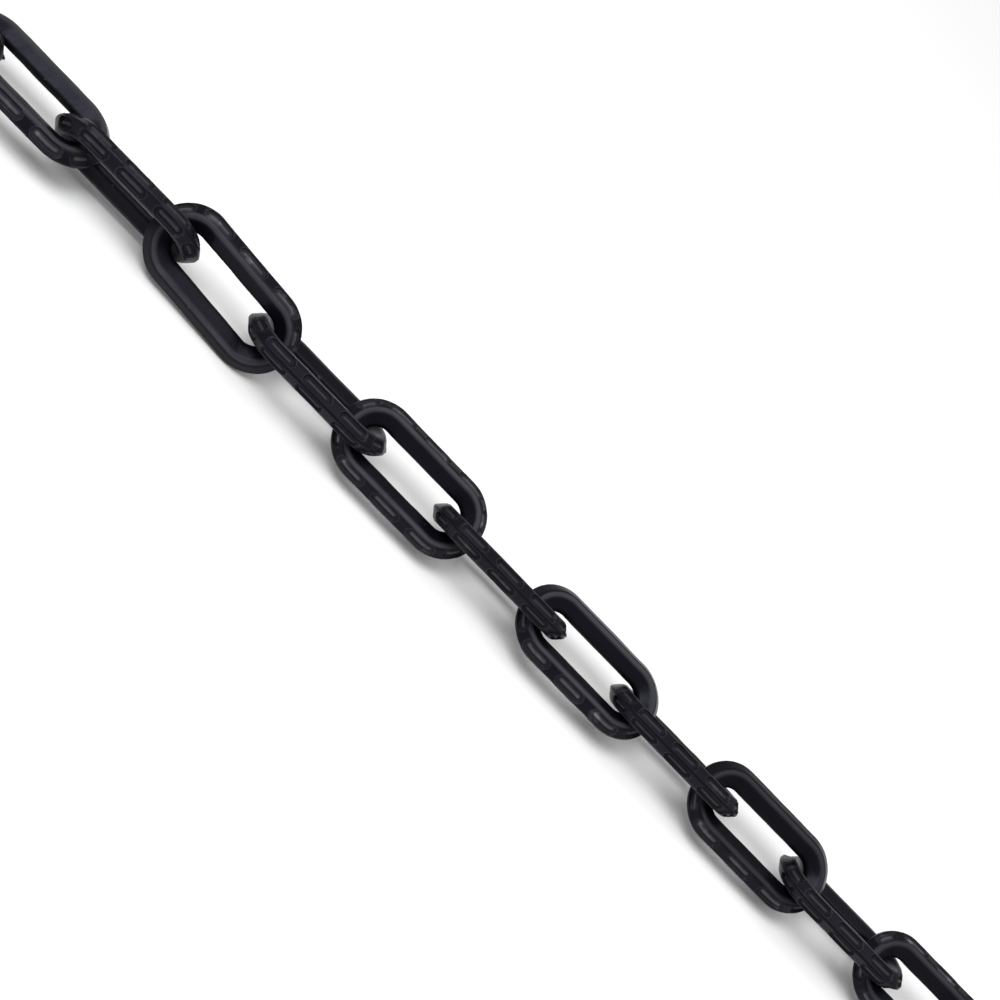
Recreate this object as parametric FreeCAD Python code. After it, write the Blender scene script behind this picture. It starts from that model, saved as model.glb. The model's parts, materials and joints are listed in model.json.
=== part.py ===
"""Interlocked run of moulded plastic chain links, laid out straight along X.

Every link is an obround ring with a faceted bar: a narrow nose inside, a rounded crest on each
face, and two sloping outer shoulders that carry rows of shallow moulding pockets. Each link
passes through its neighbours, and hinges about the end bar of the link before it.

Units are millimetres. Frame: X along the chain, Z up, origin on the floor under the middle link.
"""
import FreeCAD, Part
import math
import os
from FreeCAD import Vector

# ---- driving dimensions -------------------------------------------------------------------
LINK_COUNT = 21          # links in the run
LINK_LENGTH = 52.3       # outside, along the chain
BAR_WIDTH = 7.9          # bar, measured in the plane of the link
BAR_THICKNESS = 6.5      # bar, measured square to the plane of the link
WINDOW_ROOM = 2.9        # the link's window is wider than a bar's thickness by this much
LINK_PLAY = 0.5          # free travel between two neighbouring end bars

# ---- bar section: u runs outwards in the link's plane, v square to it ----------------------
NOSE_HEIGHT = 2.0        # flat on the inside of the bar
CREST_OFFSET = 0.45      # the crest sits this far outside the middle of the bar
RIB_HEIGHT = 0.8         # flat rib on the outside of the bar
NOSE_ROUND = 1.5
CREST_ROUND = 2.2
RIB_ROUND = 0.4

# ---- moulding pockets on the shoulders -----------------------------------------------------
POCKET_LENGTH = 9.8      # over the rounded ends, along the bar
POCKET_WIDTH = 3.2
POCKET_DEPTH = 0.8
POCKET_SPACING = 13.7    # centre to centre along the bar
POCKETS_PER_BAR = 3
ROW_RISE = 1.95          # from the rib's edge up the shoulder to the middle of the row
END_POCKET_START = 40.0  # degrees round the end bar, from the side bar
END_POCKET_STOP = 72.0

# ---- how the links lie: roll of each link's plane about X, degrees from level --------------
EVEN_ROLL = 33.0
ODD_ROLL = 147.0
LIE = {5: 120.0, 6: 9.0, 7: 125.0, 8: 60.0, 9: 156.0, 10: 36.0, 11: 143.0, 12: 23.0,
       13: 145.0, 14: 33.0, 15: 155.0, 16: 38.0}
TILT = {8: -4.0}         # turn of a link in its own plane, degrees
SLIP = {8: -0.4}         # shift of a link sideways in its own plane

# ---- shoulders that the mould left plain: (bar side, face) of each link --------------------
PLAIN_ROWS = {6: ((1, 1),), 8: ((-1, 1),), 12: ((1, 1),), 14: ((1, 1),)}

# ---- worked out ----------------------------------------------------------------------------
LINK_WIDTH = 2 * BAR_WIDTH + BAR_THICKNESS + WINDOW_ROOM
PITCH = LINK_LENGTH - 2 * BAR_WIDTH - LINK_PLAY
BEND_RADIUS = (LINK_WIDTH - BAR_WIDTH) / 2
STRAIGHT_HALF = (LINK_LENGTH - LINK_WIDTH) / 2
HALF_BAR = BAR_WIDTH / 2
NOSE_V = NOSE_HEIGHT / 2
RIB_V = RIB_HEIGHT / 2
CUTTER_RISE = 1.5        # how far a cutter stands out of the shoulder
Z_AXIS = Vector(0, 0, 1)
X_AXIS = Vector(1, 0, 0)


def flank_slope(edge_u, edge_v):
    """Return the slope of the flank from an edge of the bar to its rounded crest, in radians."""
    run = abs(edge_u - CREST_OFFSET)
    rise = BAR_THICKNESS / 2 - CREST_ROUND - edge_v
    return math.atan2(rise, run) + math.asin(CREST_ROUND / math.hypot(run, rise))


INNER_SLOPE = flank_slope(-HALF_BAR, NOSE_V)
SHOULDER_SLOPE = flank_slope(HALF_BAR, RIB_V)
SHOULDER_U = HALF_BAR - ROW_RISE * math.cos(SHOULDER_SLOPE)
SHOULDER_V = RIB_V + ROW_RISE * math.sin(SHOULDER_SLOPE)
SHOULDER_RADIUS = BEND_RADIUS + SHOULDER_U
OUTWARDS = Vector(0, math.sin(SHOULDER_SLOPE), math.cos(SHOULDER_SLOPE))
ROW_CENTRE = Vector(0, SHOULDER_RADIUS, SHOULDER_V)


def rounded_outline(corners):
    """Return a closed wire through (u, v, radius) corners, each one rounded by its radius."""
    edges = []
    joins = []
    count = len(corners)
    for index in range(count):
        before = Vector(0, corners[index - 1][0], corners[index - 1][1])
        here = Vector(0, corners[index][0], corners[index][1])
        after = Vector(0, corners[(index + 1) % count][0], corners[(index + 1) % count][1])
        radius = corners[index][2]
        back = (before - here).normalize()
        ahead = (after - here).normalize()
        half = back.getAngle(ahead) / 2
        reach = radius / math.tan(half)
        middle = here + (back + ahead).normalize() * (radius / math.sin(half) - radius)
        joins.append((here + back * reach, middle, here + ahead * reach))
    for index in range(count):
        start, middle, stop = joins[index]
        following = joins[(index + 1) % count][0]
        edges.append(Part.Arc(start, middle, stop).toShape())
        if stop.distanceToPoint(following) > 1e-6:
            edges.append(Part.LineSegment(stop, following).toShape())
    return Part.Wire(edges)


def bar_section():
    """Return the face of the bar's section, centred on the bar, in the YZ plane."""
    inner = math.tan(INNER_SLOPE)
    outer = math.tan(SHOULDER_SLOPE)
    crest_u = (RIB_V - NOSE_V + HALF_BAR * (outer - inner)) / (outer + inner)
    crest_v = NOSE_V + (crest_u + HALF_BAR) * inner
    upper = [
        (-HALF_BAR, NOSE_V, NOSE_ROUND),
        (crest_u, crest_v, CREST_ROUND),
        (HALF_BAR, RIB_V, RIB_ROUND),
    ]
    lower = [(u, -v, radius) for u, v, radius in reversed(upper)]
    return Part.Face(rounded_outline(upper + lower))


def plain_ring():
    """Return the obround ring of one link, in its own frame, with no pockets."""
    section = bar_section()
    section.translate(Vector(STRAIGHT_HALF, BEND_RADIUS, 0))
    side_bar = section.extrude(Vector(-2 * STRAIGHT_HALF, 0, 0))
    end_bar = section.revolve(Vector(STRAIGHT_HALF, 0, 0), Z_AXIS, -180)
    pieces = []
    for turn in (0, 180):
        for piece in (side_bar, end_bar):
            turned = piece.copy()
            turned.rotate(Vector(0, 0, 0), Z_AXIS, turn)
            pieces.append(turned)
    return pieces[0].fuse(pieces[1:]).removeSplitter()


def pocket_profile():
    """Return the cutter's section, a rectangle lying across the shoulder, in the YZ plane."""
    across = OUTWARDS.cross(X_AXIS) * (POCKET_WIDTH / 2)
    floor = ROW_CENTRE - OUTWARDS * POCKET_DEPTH
    top = ROW_CENTRE + OUTWARDS * CUTTER_RISE
    corners = [floor - across, floor + across, top + across, top - across, floor - across]
    return Part.Face(Part.makePolygon(corners))


def rounded_end(distance):
    """Return the round cutter that closes a pocket at a distance along the shoulder's line."""
    foot = ROW_CENTRE - OUTWARDS * POCKET_DEPTH
    end = Part.makeCylinder(POCKET_WIDTH / 2, POCKET_DEPTH + CUTTER_RISE, foot, OUTWARDS)
    straight = min(distance, STRAIGHT_HALF)
    end.translate(Vector(straight, 0, 0))
    if distance > STRAIGHT_HALF:
        turn = math.degrees((distance - STRAIGHT_HALF) / SHOULDER_RADIUS)
        end.rotate(Vector(STRAIGHT_HALF, 0, 0), Z_AXIS, -turn)
    return end


def pocket(start, stop):
    """Return one pocket's cutter between two distances along the shoulder, ends included."""
    first = start + POCKET_WIDTH / 2
    last = stop - POCKET_WIDTH / 2
    pieces = [rounded_end(first), rounded_end(last)]
    if first < STRAIGHT_HALF:
        run = pocket_profile()
        run.translate(Vector(first, 0, 0))
        pieces.append(run.extrude(Vector(min(last, STRAIGHT_HALF) - first, 0, 0)))
    if last > STRAIGHT_HALF:
        bend_start = max(first, STRAIGHT_HALF)
        run = pocket_profile()
        run.translate(Vector(STRAIGHT_HALF, 0, 0))
        run.rotate(Vector(STRAIGHT_HALF, 0, 0), Z_AXIS,
                   -math.degrees((bend_start - STRAIGHT_HALF) / SHOULDER_RADIUS))
        turn = math.degrees((last - bend_start) / SHOULDER_RADIUS)
        pieces.append(run.revolve(Vector(STRAIGHT_HALF, 0, 0), Z_AXIS, -turn))
    return pieces[0].fuse(pieces[1:])


def shoulder_row():
    """Return the cutters of one shoulder: the side bar's pockets and one at each end bar."""
    cutters = []
    reach = (POCKETS_PER_BAR - 1) / 2
    for index in range(POCKETS_PER_BAR):
        centre = (index - reach) * POCKET_SPACING
        cutter = pocket(abs(centre) - POCKET_LENGTH / 2, abs(centre) + POCKET_LENGTH / 2)
        cutters.append(cutter if centre >= 0 else cutter.mirror(Vector(0, 0, 0), X_AXIS))
    start = STRAIGHT_HALF + math.radians(END_POCKET_START) * SHOULDER_RADIUS
    stop = STRAIGHT_HALF + math.radians(END_POCKET_STOP) * SHOULDER_RADIUS
    end_pocket = pocket(start, stop)
    cutters += [end_pocket, end_pocket.mirror(Vector(0, 0, 0), X_AXIS)]
    return Part.makeCompound(cutters)


def link(ring, row, plain):
    """Return one link in its own frame, with pockets on every shoulder not named in plain."""
    cutters = []
    for side in (1, -1):
        for face in (1, -1):
            if (side, face) in plain:
                continue
            placed = row.copy()
            if side < 0:
                placed = placed.mirror(Vector(0, 0, 0), Vector(0, 1, 0))
            if face < 0:
                placed = placed.mirror(Vector(0, 0, 0), Z_AXIS)
            cutters.append(placed)
    return ring.cut(cutters) if cutters else ring


def roll_of(number):
    """Return the roll of a link's plane about X, in degrees from level."""
    return LIE.get(number, EVEN_ROLL if number % 2 == 0 else ODD_ROLL)


def main():
    """Build every link where it lies, and write one STEP file for each."""
    os.makedirs("parts", exist_ok=True)
    ring = plain_ring()
    row = shoulder_row()
    middle = (LINK_COUNT + 1) / 2
    shapes = {}
    for number in range(1, LINK_COUNT + 1):
        shape = link(ring, row, PLAIN_ROWS.get(number, ()))
        shape.rotate(Vector(0, 0, 0), Z_AXIS, TILT.get(number, 0.0))
        shape.translate(Vector(0, SLIP.get(number, 0.0), 0))
        shape.rotate(Vector(0, 0, 0), X_AXIS, roll_of(number))
        shape.translate(Vector((number - middle) * PITCH, 0, 0))
        shapes[f"link_{number:02d}"] = shape
    lowest = min(shape.optimalBoundingBox(False, False).ZMin for shape in shapes.values())
    for name, shape in shapes.items():
        shape.translate(Vector(0, 0, -lowest))
        shape.exportStep(os.path.join("parts", f"{name}.step"))
        print(name, "solids", len(shape.Solids), "valid", shape.isValid(),
              "volume", round(shape.Volume, 1))
    print("chain axis height", round(-lowest, 4))


main()
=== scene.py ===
"""Looks of a run of black moulded plastic chain links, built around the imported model.

Every link is one ring of its own, made by one Geometry Nodes tree from a bar section, and rides
on its own body. Lengths inside a link are in millimetres; finished meshes are in metres.
"""
import json
import logging
import math
from dataclasses import dataclass, field
from enum import Enum
from typing import Mapping, Sequence, Union

import bpy
from mathutils import Matrix, Vector


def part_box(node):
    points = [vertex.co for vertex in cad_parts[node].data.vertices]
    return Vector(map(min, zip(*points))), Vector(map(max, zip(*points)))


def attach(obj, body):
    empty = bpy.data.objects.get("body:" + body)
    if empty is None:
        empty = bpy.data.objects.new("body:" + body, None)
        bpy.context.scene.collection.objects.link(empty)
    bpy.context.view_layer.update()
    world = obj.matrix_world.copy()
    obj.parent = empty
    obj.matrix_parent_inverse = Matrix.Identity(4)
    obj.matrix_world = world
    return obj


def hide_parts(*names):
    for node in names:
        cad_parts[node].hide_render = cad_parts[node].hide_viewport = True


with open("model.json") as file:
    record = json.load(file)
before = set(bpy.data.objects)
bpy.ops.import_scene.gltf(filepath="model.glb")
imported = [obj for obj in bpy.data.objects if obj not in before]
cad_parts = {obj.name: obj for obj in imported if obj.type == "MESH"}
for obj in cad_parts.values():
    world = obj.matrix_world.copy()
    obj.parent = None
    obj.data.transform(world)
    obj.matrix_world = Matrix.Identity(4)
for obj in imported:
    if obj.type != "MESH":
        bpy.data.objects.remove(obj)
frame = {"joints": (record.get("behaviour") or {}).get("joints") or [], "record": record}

LOG = logging.getLogger("chain")
MM = 0.001
HALF_TURN = 180.0
NOISE_MIDDLE = 0.5
MIDDLE_LINK = "link_11"
ROWS = ("Plain Left Top", "Plain Left Under", "Plain Right Top", "Plain Right Under")

Number = Union[int, float]
Colour = tuple[float, float, float]
Feed = Union["Field", bpy.types.NodeSocket, Number, Sequence[float], str, bpy.types.ID]


class Graph:
    """A node tree, with one way to add a node and one way to do maths on its sockets."""

    def __init__(self, tree: bpy.types.NodeTree) -> None:
        """Wrap a tree that new nodes go into."""
        self.tree = tree

    def add(self, kind: str, settings: Mapping[str, object] | None = None,
            values: Mapping[Union[int, str], Feed] | None = None) -> bpy.types.Node:
        """Add one node, set its options first and then feed its inputs.

        Args:
            kind: The node's type.
            settings: Options such as an operation or a data type.
            values: The value or link of each input, by its index or name.

        Returns:
            The new node.
        """
        node = self.tree.nodes.new(kind)
        for name, value in (settings or {}).items():
            setattr(node, name, value)
        for key, value in (values or {}).items():
            self.feed(node.inputs[key], value)
        return node

    def feed(self, socket: bpy.types.NodeSocket, value: Feed) -> None:
        """Link a field or a socket into an input, or set the input's own value.

        Args:
            socket: The input.
            value: A field, an output socket or a plain value.
        """
        if isinstance(value, Field):
            self.tree.links.new(value.socket, socket)
        elif isinstance(value, bpy.types.NodeSocket):
            self.tree.links.new(value, socket)
        else:
            socket.default_value = value

    def field(self, kind: str, settings: Mapping[str, object] | None = None,
              values: Mapping[Union[int, str], Feed] | None = None,
              output: Union[int, str] = 0) -> "Field":
        """Add one node and return one of its outputs, ready for maths."""
        return Field(self, self.add(kind, settings, values).outputs[output])

    def maths(self, operation: str, *values: Feed) -> "Field":
        """Add one Math node over the values given."""
        return self.field("ShaderNodeMath", {"operation": operation}, dict(enumerate(values)))

    def smooth(self, value: Feed, low: Number, high: Number) -> "Field":
        """Return 0 below low and 1 above high, with a smooth rise between them."""
        return self.field("ShaderNodeMapRange", {"interpolation_type": "SMOOTHSTEP"},
                          {0: value, 1: low, 2: high, 3: 0.0, 4: 1.0})

    def named(self, name: str) -> "Field":
        """Return a stored number of the mesh, in a geometry tree."""
        return self.field("GeometryNodeInputNamedAttribute", {"data_type": "FLOAT"}, {0: name})

    def store(self, geometry: bpy.types.NodeSocket, name: str,
              value: "Field") -> bpy.types.NodeSocket:
        """Store a number on every point of a mesh or a curve.

        Args:
            geometry: The mesh or curve.
            name: The name that the number is read back by.
            value: The number.

        Returns:
            The geometry with the number on it.
        """
        node = self.add("GeometryNodeStoreNamedAttribute",
                        {"data_type": "FLOAT", "domain": "POINT"},
                        {"Geometry": geometry, "Name": name, "Value": value})
        return node.outputs[0]


class Field:
    """One socket's value, which Python's own operators work on."""

    def __init__(self, graph: Graph, socket: bpy.types.NodeSocket) -> None:
        """Wrap a socket of a graph."""
        self.graph = graph
        self.socket = socket

    def __add__(self, other: Feed) -> "Field":
        """Return self + other."""
        return self.graph.maths("ADD", self, other)

    def __radd__(self, other: Feed) -> "Field":
        """Return other + self."""
        return self.graph.maths("ADD", other, self)

    def __sub__(self, other: Feed) -> "Field":
        """Return self - other."""
        return self.graph.maths("SUBTRACT", self, other)

    def __rsub__(self, other: Feed) -> "Field":
        """Return other - self."""
        return self.graph.maths("SUBTRACT", other, self)

    def __mul__(self, other: Feed) -> "Field":
        """Return self * other."""
        return self.graph.maths("MULTIPLY", self, other)

    def __rmul__(self, other: Feed) -> "Field":
        """Return other * self."""
        return self.graph.maths("MULTIPLY", other, self)

    def __truediv__(self, other: Feed) -> "Field":
        """Return self / other."""
        return self.graph.maths("DIVIDE", self, other)

    def __abs__(self) -> "Field":
        """Return the size of self without its sign."""
        return self.graph.maths("ABSOLUTE", self)

    def __gt__(self, other: Feed) -> "Field":
        """Return 1 where self is greater than other, and 0 elsewhere."""
        return self.graph.maths("GREATER_THAN", self, other)

    def __lt__(self, other: Feed) -> "Field":
        """Return 1 where self is less than other, and 0 elsewhere."""
        return self.graph.maths("LESS_THAN", self, other)

    def least(self, other: Feed) -> "Field":
        """Return the smaller of self and other."""
        return self.graph.maths("MINIMUM", self, other)

    def most(self, other: Feed) -> "Field":
        """Return the larger of self and other."""
        return self.graph.maths("MAXIMUM", self, other)

    def sine(self) -> "Field":
        """Return the sine of self."""
        return self.graph.maths("SINE", self)

    def cosine(self) -> "Field":
        """Return the cosine of self."""
        return self.graph.maths("COSINE", self)

    def length_with(self, other: Feed) -> "Field":
        """Return the length of the step that has self and other as its two sides."""
        return self.graph.maths("SQRT", self * self + self.graph.maths("MULTIPLY", other, other))


@dataclass(frozen=True)
class BarSection:
    """The faceted bar of a link, in millimetres: u runs outwards, v square to the link."""

    width: float = 7.9
    thickness: float = 6.5
    nose_height: float = 2.0
    crest_offset: float = 0.45
    rib_height: float = 0.8
    nose_round: float = 1.5
    crest_round: float = 2.2
    rib_round: float = 0.4
    row_rise: float = 1.95
    coarse_step: float = 0.40
    fine_step: float = 0.16
    arc_steps: int = 24
    line_steps: int = 200

    def flank_slope(self, edge_u: float, edge_v: float) -> float:
        """Return the slope of the flank from an edge of the bar to its rounded crest.

        Args:
            edge_u: The edge's place outwards.
            edge_v: The edge's height above the link's plane.

        Returns:
            The slope, in radians.
        """
        run = abs(edge_u - self.crest_offset)
        rise = self.thickness / 2 - self.crest_round - edge_v
        return math.atan2(rise, run) + math.asin(self.crest_round / math.hypot(run, rise))

    @property
    def shoulder_slope(self) -> float:
        """Return the slope of the outer shoulder, in radians."""
        return self.flank_slope(self.width / 2, self.rib_height / 2)

    @property
    def row_centre(self) -> tuple[float, float]:
        """Return the middle of the pocket row, on the shoulder.

        Returns:
            Its u and v.
        """
        slope = self.shoulder_slope
        return (self.width / 2 - self.row_rise * math.cos(slope),
                self.rib_height / 2 + self.row_rise * math.sin(slope))

    def corners(self) -> list[tuple[float, float, float]]:
        """Return the outline's corners in order.

        Returns:
            The u, the v and the rounding of each corner.
        """
        half = self.width / 2
        nose = self.nose_height / 2
        rib = self.rib_height / 2
        inner = math.tan(self.flank_slope(-half, nose))
        outer = math.tan(self.shoulder_slope)
        crest_u = (rib - nose + half * (outer - inner)) / (outer + inner)
        upper = [
            (-half, nose, self.nose_round),
            (crest_u, nose + (crest_u + half) * inner, self.crest_round),
            (half, rib, self.rib_round),
        ]
        return upper + [(u, -v, r) for u, v, r in reversed(upper)]

    def rounded_corner(self, before: Vector, here: Vector, after: Vector,
                       radius: float) -> list[Vector]:
        """Return the points of the arc that rounds one corner.

        Args:
            before: The corner before it.
            here: The corner.
            after: The corner after it.
            radius: The arc's radius.

        Returns:
            The arc's points in order.
        """
        back = (before - here).normalized()
        ahead = (after - here).normalized()
        half = back.angle(ahead) / 2
        centre = here + (back + ahead).normalized() * (radius / math.sin(half))
        start = (here + back * (radius / math.tan(half)) - centre).normalized()
        stop = (here + ahead * (radius / math.tan(half)) - centre).normalized()
        return [centre + start.slerp(stop, step / self.arc_steps) * radius
                for step in range(self.arc_steps + 1)]

    def fine_outline(self) -> list[Vector]:
        """Return a very fine outline with every corner rounded by an arc.

        Returns:
            The outline's points in order.
        """
        corners = self.corners()
        places = [Vector(corner[:2]) for corner in corners]
        stretches = [
            self.rounded_corner(places[index - 1], places[index],
                                places[(index + 1) % len(places)], corners[index][2])
            for index in range(len(places))]
        outline: list[Vector] = []
        for index, stretch in enumerate(stretches):
            following = stretches[(index + 1) % len(stretches)][0]
            outline += stretch
            outline += [stretch[-1].lerp(following, step / self.line_steps)
                        for step in range(1, self.line_steps)]
        return outline

    def points(self) -> list[Vector]:
        """Return the section's points, close together on the shoulders and wider elsewhere.

        Returns:
            The points in order.
        """
        outline = self.fine_outline()
        travelled = [0.0]
        for here, following in zip(outline, outline[1:] + outline[:1]):
            fine = here.x > self.crest_offset
            step = self.fine_step if fine else self.coarse_step
            travelled.append(travelled[-1] + (following - here).length / step)
        count = round(travelled[-1])
        points = []
        cursor = 0
        for index in range(count):
            target = index * travelled[-1] / count
            while travelled[cursor + 1] <= target:
                cursor += 1
            points.append(outline[cursor])
        return points

    def build(self) -> bpy.types.Object:
        """Build a loop of edges in the shape of the section, with u and v stored on it.

        Returns:
            The loop.
        """
        points = self.points()
        mesh = bpy.data.meshes.new("bar_section")
        edges = [(index, (index + 1) % len(points)) for index in range(len(points))]
        mesh.from_pydata([(point.x, point.y, 0.0) for point in points], edges, [])
        for name, axis in (("bar_u", 0), ("bar_v", 1)):
            layer = mesh.attributes.new(name, "FLOAT", "POINT")
            layer.data.foreach_set("value", [point[axis] for point in points])
        section = bpy.data.objects.new("bar_section", mesh)
        bpy.context.scene.collection.objects.link(section)
        return section


@dataclass(frozen=True)
class LinkSizes:
    """Sizes of the obround ring and of its pockets, in millimetres and degrees."""

    length: float = 52.3
    width: float = 25.2
    rings: int = 380
    pocket_length: float = 9.8
    pocket_width: float = 3.2
    pocket_depth: float = 0.8
    pocket_spacing: float = 13.7
    end_pocket_start: float = 40.0
    end_pocket_stop: float = 72.0


@dataclass(frozen=True)
class MouldingMarks:
    """Sizes of the mould's and gate's marks, and of the highlight painted on crests and lips, in
    millimetres.

    The pocket's wall, hump and lip are measured from the pocket's edge: the wall's foot and the
    hump inwards, the rest outwards.
    """

    wall_foot: float = 0.40
    wall_top: float = 0.14
    hump_foot: float = 0.72
    hump_top: float = 1.36
    hump_height: float = 0.50
    lip_start: float = -0.05
    lip_crown: float = 0.14
    lip_stop: float = 0.42
    lip_height: float = 0.08
    # Share of the painted highlight that goes on the pockets' lips.
    lip_painted_highlight_weight: float = 0.75
    flash_height: float = 0.10
    flash_reach: float = 0.22
    flash_rise: float = 2.15
    gate_across: float = -0.9
    gate_flat: float = 0.3325
    gate_reach: float = 0.95
    gate_from: float = 2.0
    # The next three place the highlight painted along the crests: its flat middle, its fade and
    # the least height.
    crest_flat: float = 0.1
    crest_reach: float = 1.25
    crest_from: float = 1.5
    warp_height: float = 0.16
    warp_scale: float = 0.11
    warp_detail: float = 1.0
    ripple_height: float = 0.035
    ripple_scale: float = 0.9
    sink: float = 0.85
    seed_step: tuple[float, float, float] = (31.7, 17.3, 5.0)


class Gate(Enum):
    """What is left of the moulding gate at a link's end, as the height of the stub."""

    NONE = 0.0
    CUT_FLUSH = 0.22
    STANDING = 0.8


@dataclass(frozen=True)
class RingPath:
    """Where each point of the sweep is along the ring, walked as two halves of one shape.

    A half runs out along a side bar, turns about an end bar and runs back. The second half is
    the first one turned by half a turn, so its way is -1.
    """

    bend: Field
    straight: Field
    out_run: Field
    turn: Field
    back_run: Field
    second: Field
    way: Field

    def run(self, bend: Field) -> Field:
        """Return the distance from the start of the half, on a line of the given bend."""
        return self.out_run + self.turn * bend + self.back_run


class LinkTree:
    """The Geometry Nodes tree that turns the bar section into one finished link."""

    def __init__(self, section: BarSection, sizes: LinkSizes, marks: MouldingMarks) -> None:
        """Build the tree.

        Args:
            section: The bar's section.
            sizes: The ring's sizes.
            marks: The sizes of the moulding marks.
        """
        self.section = section
        self.sizes = sizes
        self.marks = marks
        self.tree = bpy.data.node_groups.new("link_moulding", "GeometryNodeTree")
        self.graph = Graph(self.tree)
        self.identifiers: dict[str, str] = {}
        self._declare_sockets()
        self._entry = self.graph.add("NodeGroupInput")
        self._build()

    def _declare_sockets(self) -> None:
        face = self.tree.interface
        face.new_socket("Geometry", in_out="OUTPUT", socket_type="NodeSocketGeometry")
        face.new_socket("Section", in_out="INPUT", socket_type="NodeSocketGeometry")
        numbers = ("Length", "Width", "Bar Width", "Pocket Length", "Pocket Width",
                   "Pocket Depth", "Pocket Spacing", "Gate Height", "Seed", *ROWS,
                   "Tilt", "Slip", "Roll")
        kinds = {name: "NodeSocketFloat" for name in numbers}
        kinds["Centre"] = "NodeSocketVector"
        kinds["Plastic"] = "NodeSocketMaterial"
        for name, kind in kinds.items():
            socket = face.new_socket(name, in_out="INPUT", socket_type=kind)
            self.identifiers[name] = socket.identifier

    def _given(self, name: str) -> Field:
        """Return one of the tree's named inputs."""
        return Field(self.graph, self._entry.outputs[name])

    def _sweep(self) -> bpy.types.NodeSocket:
        """Sweep the section along a closed curve whose points carry their station from 0 to 1.

        Returns:
            The swept tube, which is laid along the ring afterwards.
        """
        graph = self.graph
        loop = graph.add("GeometryNodeMeshToCurve", {}, {0: self._entry.outputs["Section"]})
        circle = graph.add("GeometryNodeCurvePrimitiveCircle", {},
                           {"Resolution": self.sizes.rings})
        index = graph.field("GeometryNodeInputIndex")
        marked = graph.store(circle.outputs[0], "station", index / float(self.sizes.rings))
        sweep = graph.add("GeometryNodeCurveToMesh", {},
                          {"Curve": marked, "Profile Curve": loop.outputs[0]})
        return sweep.outputs[0]

    def _path(self) -> RingPath:
        """Work out where each station lies along the ring.

        Returns:
            The path.
        """
        bend = (self._given("Width") - self._given("Bar Width")) * 0.5
        straight = (self._given("Length") - self._given("Width")) * 0.5
        half_run = straight * 2.0 + bend * math.pi
        travelled = self.graph.named("station") * half_run * 2.0
        second = travelled > half_run
        within = travelled - second * half_run
        return RingPath(
            bend=bend, straight=straight, out_run=within.least(straight),
            turn=((within - straight) / bend).most(0.0).least(math.pi),
            back_run=(within - straight - bend * math.pi).most(0.0),
            second=second, way=1.0 - second * 2.0)

    def _slot(self, along: Field, across: Field, centre: Feed, half_length: Feed) -> Field:
        """Return the distance outside one pocket's rounded outline, negative inside it.

        Args:
            along: Distance along the shoulder from the middle of the side bar.
            across: Distance across the shoulder from its middle.
            centre: The pocket's centre along the shoulder.
            half_length: Half of the pocket's length.

        Returns:
            The distance.
        """
        radius = self._given("Pocket Width") * 0.5
        beyond = (abs(along - centre) - (half_length - radius)).most(0.0)
        return beyond.length_with(across) - radius

    def _pockets(self, path: RingPath, across: Field) -> Field:
        """Return the distance outside the nearest pocket of a row.

        Args:
            path: The ring's path.
            across: Distance across the shoulder from the middle of the row.

        Returns:
            The distance, negative inside a pocket.
        """
        shoulder_bend = path.bend + self.section.row_centre[0]
        full_run = path.straight * 2.0 + shoulder_bend * math.pi
        run = path.run(shoulder_bend)
        along = run.least(full_run - run)
        half_pocket = self._given("Pocket Length") * 0.5
        first = math.radians(self.sizes.end_pocket_start)
        last = math.radians(self.sizes.end_pocket_stop)
        end_centre = path.straight + shoulder_bend * ((first + last) / 2)
        end_half = shoulder_bend * ((last - first) / 2)
        middle_slot = self._slot(along, across, 0.0, half_pocket)
        next_slot = self._slot(along, across, self._given("Pocket Spacing"), half_pocket)
        return middle_slot.least(next_slot).least(
            self._slot(along, across, end_centre, end_half))

    def _open_rows(self, path: RingPath, bar_v: Field) -> Field:
        """Return 1 on the shoulders that have pockets, and 0 on those that are plain.

        Args:
            path: The ring's path.
            bar_v: Height above the link's plane.

        Returns:
            The mask.
        """
        left = (path.bend * path.turn.cosine() * path.way) > 0.0
        top = bar_v > 0.0
        right = 1.0 - left
        under = 1.0 - top
        shares = (left * top, left * under, right * top, right * under)
        plain = shares[0] * self._given(ROWS[0])
        for share, row in zip(shares[1:], ROWS[1:]):
            plain = plain + share * self._given(row)
        return 1.0 - plain

    def _flash(self, across: Field, bar_u: Field) -> Field:
        """Return the thin line of flash that runs along one side of the crest.

        Args:
            across: Distance across the shoulder from the middle of the row.
            bar_u: Place outwards on the bar.

        Returns:
            The mask.
        """
        rise = self.marks.flash_rise
        gap = abs(across + rise) + (bar_u < 0.0) * rise
        return 1.0 - self.graph.smooth(gap, 0.0, self.marks.flash_reach)

    def _gate(self, path: RingPath, bar_u: Field, bar_v: Field) -> Field:
        """Return the round spot at one end of the link where the plastic came in.

        Args:
            path: The ring's path.
            bar_u: Place outwards on the bar.
            bar_v: Height above the link's plane.

        Returns:
            The mask.
        """
        marks = self.marks
        from_tip = (path.turn - math.pi / 2) * (path.bend + self.section.width / 2)
        gap = from_tip.length_with(bar_v - marks.gate_across)
        spot = 1.0 - self.graph.smooth(gap, marks.gate_flat, marks.gate_reach)
        return spot * (bar_u > marks.gate_from) * (1.0 - path.second)

    def _painted_highlight(self, bar_u: Field, bar_v: Field, inside: Field, lip: Field) -> Field:
        """Return where a highlight is painted: along the link's crests and on the pockets' lips.

        Args:
            bar_u: Place outwards on the bar.
            bar_v: Height above the link's plane.
            inside: The pockets' mask.
            lip: The lips' mask.

        Returns:
            The mask.
        """
        marks = self.marks
        # A highlight is painted into the colour along the crest, away from the pockets, and on
        # the lips.
        gap = abs(bar_u - self.section.crest_offset)
        crest = ((1.0 - self.graph.smooth(gap, marks.crest_flat, marks.crest_reach))
                 * (abs(bar_v) > marks.crest_from) * (1.0 - inside))
        return crest.most(lip * marks.lip_painted_highlight_weight)

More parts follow.
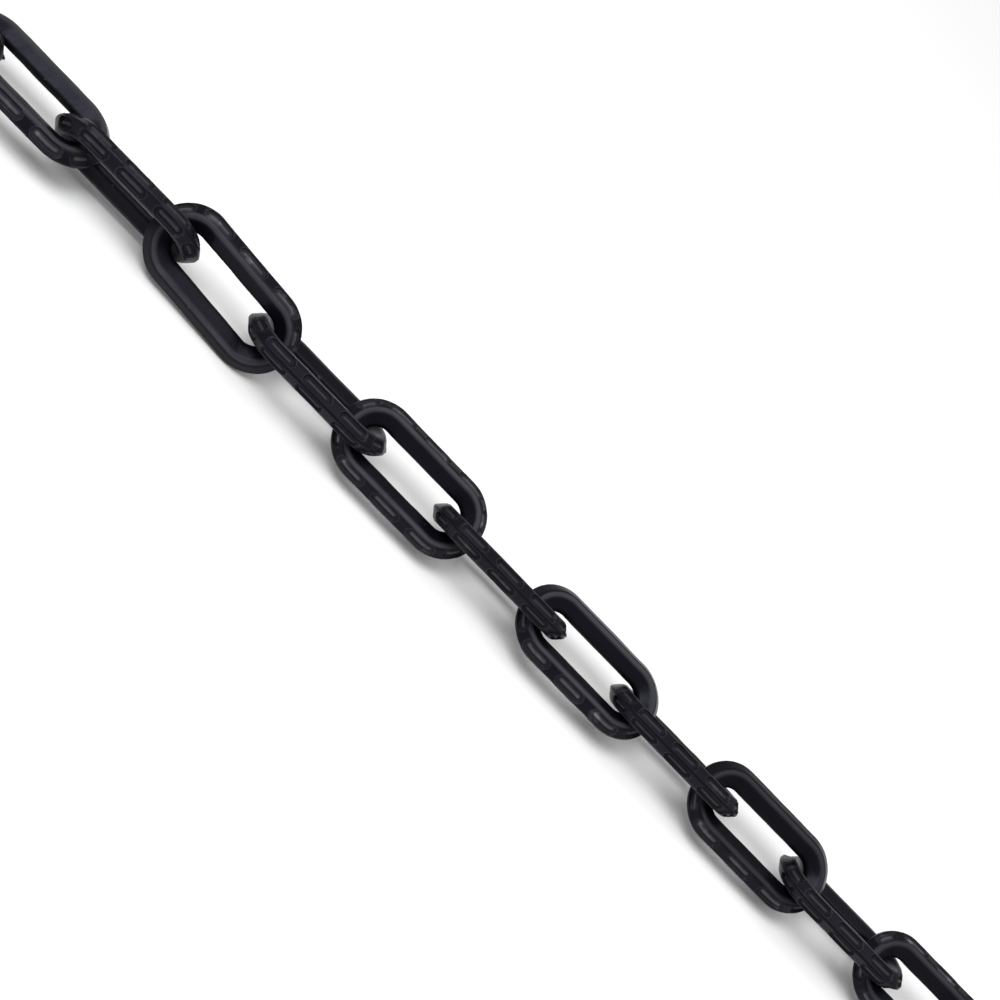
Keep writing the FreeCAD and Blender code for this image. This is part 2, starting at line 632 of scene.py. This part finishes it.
    def _build(self) -> None:
        """Lay out the whole tree, from the section to the finished link."""
        graph = self.graph
        marks = self.marks
        sweep = self._sweep()
        path = self._path()
        bar_u = graph.named("bar_u")
        bar_v = graph.named("bar_v")
        row_u, row_v = self.section.row_centre
        slope = self.section.shoulder_slope
        out_u = bar_u - row_u
        out_v = abs(bar_v) - row_v
        across = out_u * math.cos(slope) - out_v * math.sin(slope)
        height = out_u * math.sin(slope) + out_v * math.cos(slope)

        outline = self._pockets(path, across)
        open_row = self._open_rows(path, bar_v)
        inside = (1.0 - graph.smooth(outline, -marks.wall_foot, marks.wall_top)) * open_row
        hump = graph.smooth(outline * -1.0, marks.hump_foot, marks.hump_top) * open_row
        lip = (graph.smooth(outline, marks.lip_start, marks.lip_crown)
               - graph.smooth(outline, marks.lip_crown, marks.lip_stop)) * open_row
        flash = self._flash(across, bar_u)
        gate = self._gate(path, bar_u, bar_v)
        rise = (lip * marks.lip_height + hump * marks.hump_height
                - inside * (self._given("Pocket Depth") + height))

        lean = slope / 2
        face = (bar_v > 0.0) * 2.0 - 1.0
        new_u = (bar_u + rise * math.sin(slope) + gate * self._given("Gate Height")
                 + flash * (marks.flash_height * math.sin(lean)))
        new_v = bar_v + face * (rise * math.cos(slope)
                                + flash * (marks.flash_height * math.cos(lean)))
        centre_x = path.out_run + path.bend * path.turn.sine() - path.back_run
        centre_y = path.bend * path.turn.cosine()
        place = graph.add("ShaderNodeCombineXYZ", {}, {
            0: path.way * (centre_x + path.turn.sine() * new_u),
            1: path.way * (centre_y + path.turn.cosine() * new_u),
            2: new_v,
        })
        shaped = graph.add("GeometryNodeSetPosition", {},
                           {"Geometry": sweep, "Position": place.outputs[0]})
        outward = graph.add("GeometryNodeFlipFaces", {}, {0: shaped.outputs[0]})
        stored = self._warp(outward.outputs[0])
        # The fifth mask marks where a highlight is painted along the crests and the pockets'
        # lips.
        masks = {"pocket": inside, "hump": hump, "flash": flash, "gate": gate,
                 "painted_highlight": self._painted_highlight(bar_u, bar_v, inside, lip)}
        for name, mask in masks.items():
            stored = graph.store(stored, name, mask)
        self._finish(stored)

    def _warp(self, geometry: bpy.types.NodeSocket) -> bpy.types.NodeSocket:
        """Bend the ring a little and ripple its skin, mostly inwards, as cooled plastic is.

        Args:
            geometry: The shaped ring.

        Returns:
            The warped ring.
        """
        graph = self.graph
        marks = self.marks
        step_x, step_y, step_z = marks.seed_step
        offset = graph.add("ShaderNodeCombineXYZ", {}, {
            0: self._given("Seed") * step_x, 1: self._given("Seed") * step_y, 2: step_z})
        spot = graph.add("ShaderNodeVectorMath", {"operation": "ADD"}, {
            0: graph.add("GeometryNodeInputPosition").outputs[0], 1: offset.outputs[0]})
        normal = graph.add("GeometryNodeInputNormal").outputs[0]
        current = geometry
        for scale, height in ((marks.warp_scale, marks.warp_height),
                              (marks.ripple_scale, marks.ripple_height)):
            noise = graph.field("ShaderNodeTexNoise", {}, {
                "Vector": spot.outputs[0], "Scale": scale, "Detail": marks.warp_detail})
            push = graph.add("ShaderNodeVectorMath", {"operation": "SCALE"}, {
                0: normal, "Scale": (noise - marks.sink) * (2.0 * height)})
            moved = graph.add("GeometryNodeSetPosition", {},
                              {"Geometry": current, "Offset": push.outputs[0]})
            current = moved.outputs[0]
        return current

    def _finish(self, geometry: bpy.types.NodeSocket) -> None:
        """Lay the link where it lies, and end the tree with real geometry and its material.

        Args:
            geometry: The link in its own frame, in millimetres.
        """
        graph = self.graph
        lay = graph.add("ShaderNodeCombineXYZ", {}, {2: self._given("Tilt")})
        slip = graph.add("ShaderNodeCombineXYZ", {}, {1: self._given("Slip")})
        own = graph.add("GeometryNodeTransform", {}, {
            "Geometry": geometry, "Translation": slip.outputs[0], "Rotation": lay.outputs[0]})
        roll = graph.add("ShaderNodeCombineXYZ", {}, {0: self._given("Roll")})
        rolled = graph.add("GeometryNodeTransform", {}, {
            "Geometry": own.outputs[0], "Rotation": roll.outputs[0]})
        placed = graph.add("GeometryNodeTransform", {}, {
            "Geometry": rolled.outputs[0], "Translation": self._entry.outputs["Centre"],
            "Scale": (MM, MM, MM)})
        real = graph.add("GeometryNodeRealizeInstances", {}, {0: placed.outputs[0]})
        smooth = graph.add("GeometryNodeSetShadeSmooth", {}, {"Geometry": real.outputs[0]})
        dressed = graph.add("GeometryNodeSetMaterial", {}, {
            "Geometry": smooth.outputs[0], "Material": self._entry.outputs["Plastic"]})
        graph.add("NodeGroupOutput", {}, {0: dressed.outputs[0]})

    def make(self, name: str, section: bpy.types.Object,
             values: Mapping[str, object]) -> bpy.types.Object:
        """Run the tree once and keep its result as a plain mesh.

        Args:
            name: The finished object's name.
            section: The loop of edges that the bar follows.
            values: The tree's inputs, by name.

        Returns:
            The finished object, at the origin.
        """
        source = bpy.data.objects.new(name + "_source", section.data)
        bpy.context.scene.collection.objects.link(source)
        modifier = source.modifiers.new("moulding", "NODES")
        modifier.node_group = self.tree
        for key, value in values.items():
            modifier[self.identifiers[key]] = value
        evaluated = source.evaluated_get(bpy.context.evaluated_depsgraph_get())
        mesh = bpy.data.meshes.new_from_object(evaluated)
        mesh.name = name
        source.modifiers.remove(modifier)
        bpy.data.objects.remove(source)
        piece = bpy.data.objects.new(name, mesh)
        bpy.context.scene.collection.objects.link(piece)
        return piece


@dataclass(frozen=True)
class PlasticSkin:
    """What the plastic's finish reads at each point: the link's masks and four noises."""

    pocket: Field
    hump: Field
    flash: Field
    gate: Field
    painted_highlight: Field
    cloud: Field
    smear: Field
    speck: Field
    grain: Field


@dataclass(frozen=True)
class SatinBlackPlastic:
    """Black violet-cast plastic with painted crest highlights and pocket floors paled by dust and
    painted light.

    A noise is given by its scale, in features to the metre, and its detail. Bump heights are in
    metres.
    """

    name: str
    seed: float = 0.0
    # How much pale colour the pocket floors get: partly dust residue, partly painted light.
    pocket_dust_and_light: float = 1.0
    # How strongly the crest and lip highlight is painted on this link.
    painted_highlight_weight: float = 0.85
    body: Colour = (0.0022, 0.0021, 0.0040)
    # Pale colour of the pocket floors: partly dust residue, partly painted light; on the humps a
    # painted highlight.
    dust_and_light_colour: Colour = (0.070, 0.070, 0.076)
    # Colour of the highlight painted along the crests and lips.
    painted_highlight_colour: Colour = (0.046, 0.045, 0.053)
    fleck: Colour = (0.30, 0.30, 0.31)
    tint: tuple[float, float, float, float] = (0.80, 0.80, 1.0, 1.0)
    roughness: float = 0.33
    specular: float = 0.12
    seed_slant: float = 0.37
    cloud_noise: tuple[float, float] = (90.0, 3.0)
    smear_noise: tuple[float, float] = (260.0, 4.0)
    speck_noise: tuple[float, float] = (700.0, 1.0)
    grain_noise: tuple[float, float] = (2600.0, 2.0)
    # Pocket floors and humps are painted pale: partly dust, partly painted light; on the humps a
    # painted highlight.
    floor_share: float = 0.30
    hump_painted_highlight_share: float = 0.70
    haze: float = 0.03
    floor_dust_and_light: float = 0.05
    smear_dust_and_light: float = 1.1
    hump_painted_highlight: float = 0.22
    # The painted highlight is patchy: never below the first share, raised by the cloud noise by
    # the second.
    least_painted_highlight_weight: float = 0.35
    patchy_painted_highlight_weight: float = 1.1
    fleck_edges: tuple[float, float] = (0.76, 0.82)
    fleck_strength: float = 0.10
    scuff_edges: tuple[float, float] = (0.58, 0.70)
    scuff_strength: float = 0.30
    gate_strength: float = 0.10
    flash_strength: float = 0.05
    cloud_roughness: float = 0.14
    pocket_roughness: float = 0.20
    hump_polish: float = 0.12
    fleck_roughness: float = 0.5
    most_roughness: float = 0.9
    grain_strength: float = 0.30
    grain_height: float = 0.00008
    smear_strength: float = 0.35
    smear_height: float = 0.0002

    def build(self) -> bpy.types.Material:
        """Build the finish.

        Returns:
            The material.
        """
        material = bpy.data.materials.new(self.name)
        material.use_nodes = True
        material.node_tree.nodes.clear()
        graph = Graph(material.node_tree)
        skin = self._skin(graph)
        flecks = graph.smooth(skin.speck, *self.fleck_edges) * self.fleck_strength
        shader = graph.add("ShaderNodeBsdfPrincipled", {}, {
            "Base Color": self._colour(graph, skin, flecks),
            "Roughness": self._roughness(skin, flecks), "Normal": self._normal(graph, skin),
            "Specular IOR Level": self.specular, "Specular Tint": self.tint})
        graph.add("ShaderNodeOutputMaterial", {}, {"Surface": shader.outputs[0]})
        return material

    def _skin(self, graph: Graph) -> PlasticSkin:
        """Read the link's masks and lay the noises over it.

        Args:
            graph: The material's graph.

        Returns:
            The fields.
        """
        place = graph.add("ShaderNodeTexCoord").outputs["Object"]
        shift = (self.seed, self.seed * self.seed_slant, 0.0)
        spot = graph.add("ShaderNodeMapping", {}, {"Vector": place, "Location": shift})
        masks = {name: graph.field("ShaderNodeAttribute", {"attribute_name": name}, {}, "Fac")
                 for name in ("pocket", "hump", "flash", "gate", "painted_highlight")}
        scales = {"cloud": self.cloud_noise, "smear": self.smear_noise,
                  "speck": self.speck_noise, "grain": self.grain_noise}
        noises = {name: graph.field("ShaderNodeTexNoise", {}, {
            "Vector": spot.outputs[0], "Scale": scale, "Detail": detail})
            for name, (scale, detail) in scales.items()}
        return PlasticSkin(**masks, **noises)

    def _colour(self, graph: Graph, skin: PlasticSkin, flecks: Field) -> bpy.types.NodeSocket:
        """Mix the body colour with the painted highlight, the pocket dust and painted light, and
        bare spots.

        Args:
            graph: The material's graph.
            skin: The fields of the skin.
            flecks: The small bright specks.

        Returns:
            The colour.
        """
        # Pocket floors are painted paler, partly for dust and partly for light; the humps get a
        # painted highlight.
        floor = (skin.pocket * self.floor_share + skin.hump * self.hump_painted_highlight_share) * self.pocket_dust_and_light
        dust_and_light = (skin.cloud * self.haze
                + floor * (self.floor_dust_and_light + self.smear_dust_and_light * skin.smear)
                + skin.hump * self.hump_painted_highlight).least(1.0)
        scuffs = graph.smooth(skin.smear, *self.scuff_edges) * floor * self.scuff_strength
        bare = (flecks + scuffs + skin.gate * self.gate_strength
                + skin.flash * self.flash_strength).least(1.0)
        patchy = (self.least_painted_highlight_weight + self.patchy_painted_highlight_weight * skin.cloud).least(1.0)
        # The crest and lip highlight is painted into the colour first.
        colour = self._mix(graph, skin.painted_highlight * patchy * self.painted_highlight_weight, (*self.body, 1.0), self.painted_highlight_colour)
        colour = self._mix(graph, dust_and_light, colour, self.dust_and_light_colour)
        return self._mix(graph, bare, colour, self.fleck)

    def _roughness(self, skin: PlasticSkin, flecks: Field) -> Field:
        """Return a roughness that is higher in the pockets and on the flecks."""
        return (self.roughness + (skin.cloud - NOISE_MIDDLE) * self.cloud_roughness
                + skin.pocket * self.pocket_roughness - skin.hump * self.hump_polish
                + flecks * self.fleck_roughness).least(self.most_roughness)

    def _normal(self, graph: Graph, skin: PlasticSkin) -> bpy.types.NodeSocket:
        """Return the normal over a fine grain and a softer smear.

        Args:
            graph: The material's graph.
            skin: The fields of the skin.

        Returns:
            The normal.
        """
        fine = graph.add("ShaderNodeBump", {}, {
            "Strength": self.grain_strength, "Distance": self.grain_height,
            "Height": skin.grain})
        soft = graph.add("ShaderNodeBump", {}, {
            "Strength": self.smear_strength, "Distance": self.smear_height,
            "Height": skin.smear, "Normal": fine.outputs[0]})
        return soft.outputs[0]

    @staticmethod
    def _mix(graph: Graph, factor: Field, low: Feed, high: Colour) -> bpy.types.NodeSocket:
        """Return the colour that lies between two colours."""
        return graph.add("ShaderNodeMix", {"data_type": "RGBA"}, {
            0: factor, 6: low, 7: (*high, 1.0)}).outputs[2]


@dataclass
class ChainLink:
    """One link of the run, as it lies."""

    number: int
    roll: float
    centre: Vector
    tilt: float
    slip: float
    gate: Gate
    # How much pale dust and painted light goes on the pocket floors.
    pocket_dust_and_light: float
    # How strongly the crest highlight is painted on this link.
    painted_highlight_weight: float
    plain_rows: tuple[str, ...]
    sizes: LinkSizes = field(default_factory=LinkSizes)
    section: BarSection = field(default_factory=BarSection)

    @property
    def node(self) -> str:
        """Return the name of the link's node and body."""
        return f"link_{self.number:02d}"

    def inputs(self) -> dict[str, object]:
        """Return the values of the tree's inputs for this link.

        Returns:
            The values, by input name.
        """
        plastic = SatinBlackPlastic(f"plastic_{self.number:02d}", seed=float(self.number),
                                    pocket_dust_and_light=self.pocket_dust_and_light, painted_highlight_weight=self.painted_highlight_weight)
        values: dict[str, object] = {
            "Length": self.sizes.length, "Width": self.sizes.width,
            "Bar Width": self.section.width, "Pocket Length": self.sizes.pocket_length,
            "Pocket Width": self.sizes.pocket_width, "Pocket Depth": self.sizes.pocket_depth,
            "Pocket Spacing": self.sizes.pocket_spacing, "Gate Height": self.gate.value,
            "Seed": float(self.number), "Tilt": math.radians(self.tilt), "Slip": self.slip,
            "Roll": math.radians(self.roll), "Centre": self.centre,
            "Plastic": plastic.build(),
        }
        for row in ROWS:
            values[row] = 1.0 if row in self.plain_rows else 0.0
        return values

    def build(self, tree: LinkTree, section: bpy.types.Object) -> bpy.types.Object:
        """Build, dress and attach the link.

        Args:
            tree: The tree that makes a link.
            section: The bar's section.

        Returns:
            The finished link.
        """
        piece = tree.make(f"{self.node}_moulding", section, self.inputs())
        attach(piece, self.node)
        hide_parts(self.node)
        return piece


@dataclass
class ChainRun:
    """The whole run of links, laid as the frame says, and what sets single links apart."""

    tilts: Mapping[int, float] = field(default_factory=lambda: {8: -4.0})
    slips: Mapping[int, float] = field(default_factory=lambda: {8: -0.4})
    gates: Mapping[int, Gate] = field(default_factory=lambda: {
        5: Gate.STANDING, 11: Gate.STANDING, 13: Gate.STANDING, 21: Gate.NONE})
    # Links whose painted crest highlight is weaker than usual.
    painted_highlight_weights: Mapping[int, float] = field(default_factory=lambda: {14: 0.4, 16: 0.6})
    plain_rows: Mapping[int, tuple[str, ...]] = field(default_factory=lambda: {
        6: ("Plain Left Top",), 8: ("Plain Right Top",), 12: ("Plain Left Top",),
        14: ("Plain Left Top",)})
    # How strongly the crest highlight is painted on most links.
    usual_painted_highlight_weight: float = 0.85
    # Even links get paler pocket floors than odd ones: partly dust residue, partly painted light.
    even_pocket_dust_and_light: float = 1.0
    odd_pocket_dust_and_light: float = 0.25

    def rolls(self) -> dict[str, float]:
        """Return the roll of every link's plane about X, from the frame.

        Returns:
            The rolls in degrees, by link.
        """
        normals = {joint["child"]: joint["axis"] for joint in frame["joints"]}
        start_eye = frame["record"]["mounts"][0]
        normals["link_01"] = start_eye["axis"]
        return {name: math.degrees(math.atan2(-axis[1], axis[2])) % HALF_TURN
                for name, axis in normals.items()}

    def link(self, name: str, roll: float) -> ChainLink:
        """Return one link where the frame has it.

        Args:
            name: The link's node.
            roll: The roll of its plane about X, in degrees.

        Returns:
            The link.
        """
        number = int(name[-2:])
        odd = bool(number % 2)
        low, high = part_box(name)
        slip = self.slips.get(number, 0.0)
        angle = math.radians(roll)
        shift = Vector((0.0, math.cos(angle), math.sin(angle))) * (slip * MM)
        return ChainLink(
            number=number, roll=roll, centre=(low + high) / 2 - shift,
            tilt=self.tilts.get(number, 0.0), slip=slip,
            gate=self.gates.get(number, Gate.CUT_FLUSH if odd else Gate.NONE),
            pocket_dust_and_light=self.odd_pocket_dust_and_light if odd else self.even_pocket_dust_and_light,
            painted_highlight_weight=self.painted_highlight_weights.get(number, self.usual_painted_highlight_weight),
            plain_rows=self.plain_rows.get(number, ()))

    def build(self) -> None:
        """Build every link of the run, and report each one."""
        section = BarSection()
        outline = section.build()
        tree = LinkTree(section, LinkSizes(), MouldingMarks())
        for name, roll in sorted(self.rolls().items()):
            piece = self.link(name, roll).build(tree, outline)
            LOG.info("%s: %d faces, roll %.1f", piece.name, len(piece.data.polygons), roll)
        bpy.data.objects.remove(outline)


@dataclass
class StudioFloor:
    """A plain pale floor under the chain, in metres."""

    half_size: float = 4.0
    drop: float = 0.0003
    colour: tuple[float, float, float, float] = (0.93, 0.93, 0.93, 1.0)
    roughness: float = 0.9

    def build(self) -> None:
        """Build the floor and leave it out of the object."""
        half = self.half_size
        mesh = bpy.data.meshes.new("studio_floor")
        mesh.from_pydata([(-half, -half, -self.drop), (half, -half, -self.drop),
                          (half, half, -self.drop), (-half, half, -self.drop)],
                         [], [(0, 1, 2, 3)])
        material = bpy.data.materials.new("pale_floor")
        material.use_nodes = True
        shader = material.node_tree.nodes["Principled BSDF"]
        shader.inputs["Base Color"].default_value = self.colour
        shader.inputs["Roughness"].default_value = self.roughness
        shader.inputs["Specular IOR Level"].default_value = 0.0
        mesh.materials.append(material)
        floor = bpy.data.objects.new("studio_floor", mesh)
        bpy.context.scene.collection.objects.link(floor)


@dataclass
class ViewCamera:
    """The camera, placed by how the chain lies in its view; lengths in metres, angles in degrees.

    The chain runs down to the right by chain_slope and away from the camera by recede. The
    camera looks down by elevation in the plane square to the chain.
    """

    lens: float = 76.15
    distance: float = 0.5848
    elevation: float = 36.0
    chain_slope: float = 46.04
    recede: float = 10.23
    aim_right: float = -0.00006
    aim_down: float = 0.0198
    clip_start: float = 0.01

    def turn(self) -> Matrix:
        """Return the turn from the camera's own axes to the frame's.

        Returns:
            The turn, with the camera's right, down and ahead as its columns.
        """
        slope = math.radians(self.chain_slope)
        recede = math.radians(self.recede)
        lift = math.radians(self.elevation)
        run = Vector((math.cos(slope) * math.cos(recede),
                      math.sin(slope) * math.cos(recede), math.sin(recede)))
        ahead = (Vector((0, 0, 1)) - run * run.z).normalized()
        seen = Matrix((run, ahead, ahead.cross(run))).transposed()
        world_run = Vector((1, 0, 0))
        world_ahead = Vector((0, math.cos(lift), -math.sin(lift)))
        world = Matrix((world_run, world_ahead, world_ahead.cross(world_run))).transposed()
        return world @ seen.transposed()

    def build(self, target: Vector) -> None:
        """Build the camera.

        Args:
            target: The middle of the chain's middle link.
        """
        turn = self.turn()
        offset = Vector((self.aim_right, self.aim_down, self.distance))
        axes = Matrix((turn.col[0], -turn.col[1], -turn.col[2])).transposed()
        camera_data = bpy.data.cameras.new("camera")
        camera_data.lens = self.lens
        camera_data.clip_start = self.clip_start
        camera = bpy.data.objects.new("camera", camera_data)
        camera.matrix_world = Matrix.Translation(target - turn @ offset) @ axes.to_4x4()
        bpy.context.scene.collection.objects.link(camera)
        bpy.context.scene.camera = camera


@dataclass
class SoftLight:
    """One large soft round lamp that faces the middle of the chain, in metres and degrees."""

    name: str
    azimuth: float
    elevation: float
    distance: float
    size: float
    power: float

    def build(self, target: Vector) -> None:
        """Build the lamp.

        Args:
            target: The point that the lamp faces.
        """
        data = bpy.data.lights.new(self.name, "AREA")
        data.shape = "DISK"
        data.size = self.size
        data.energy = self.power
        across = math.radians(self.azimuth)
        lift = math.radians(self.elevation)
        way = Vector((math.sin(across) * math.cos(lift), -math.cos(across) * math.cos(lift),
                      math.sin(lift)))
        lamp = bpy.data.objects.new(self.name, data)
        lamp.location = target + way * self.distance
        lamp.rotation_euler = way.to_track_quat("Z", "Y").to_euler()
        bpy.context.scene.collection.objects.link(lamp)


@dataclass
class Studio:
    """The light and the tone of the view."""

    sky: float = 0.50
    lamps: tuple[SoftLight, ...] = (
        SoftLight("key", azimuth=-50.0, elevation=58.0, distance=1.6, size=0.9, power=15.0),
        SoftLight("top", azimuth=60.0, elevation=75.0, distance=1.8, size=2.2, power=16.0),
    )

    def build(self, target: Vector) -> None:
        """Build the sky and the lamps.

        Args:
            target: The point that the lamps face.
        """
        world = bpy.data.worlds.new("soft_sky")
        world.use_nodes = True
        backdrop = world.node_tree.nodes["Background"]
        backdrop.inputs["Color"].default_value = (1.0, 1.0, 1.0, 1.0)
        backdrop.inputs["Strength"].default_value = self.sky
        scene = bpy.context.scene
        scene.world = world
        scene.view_settings.view_transform = "Standard"
        for lamp in self.lamps:
            lamp.build(target)


def main() -> None:
    """Build the chain, the floor, the light and the camera."""
    logging.basicConfig(level=logging.INFO, format="%(name)s %(message)s")
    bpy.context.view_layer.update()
    low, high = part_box(MIDDLE_LINK)
    target = (low + high) / 2
    ViewCamera().build(target)
    Studio().build(target)
    StudioFloor().build()
    ChainRun().build()


if __name__ == "__main__":
    main()
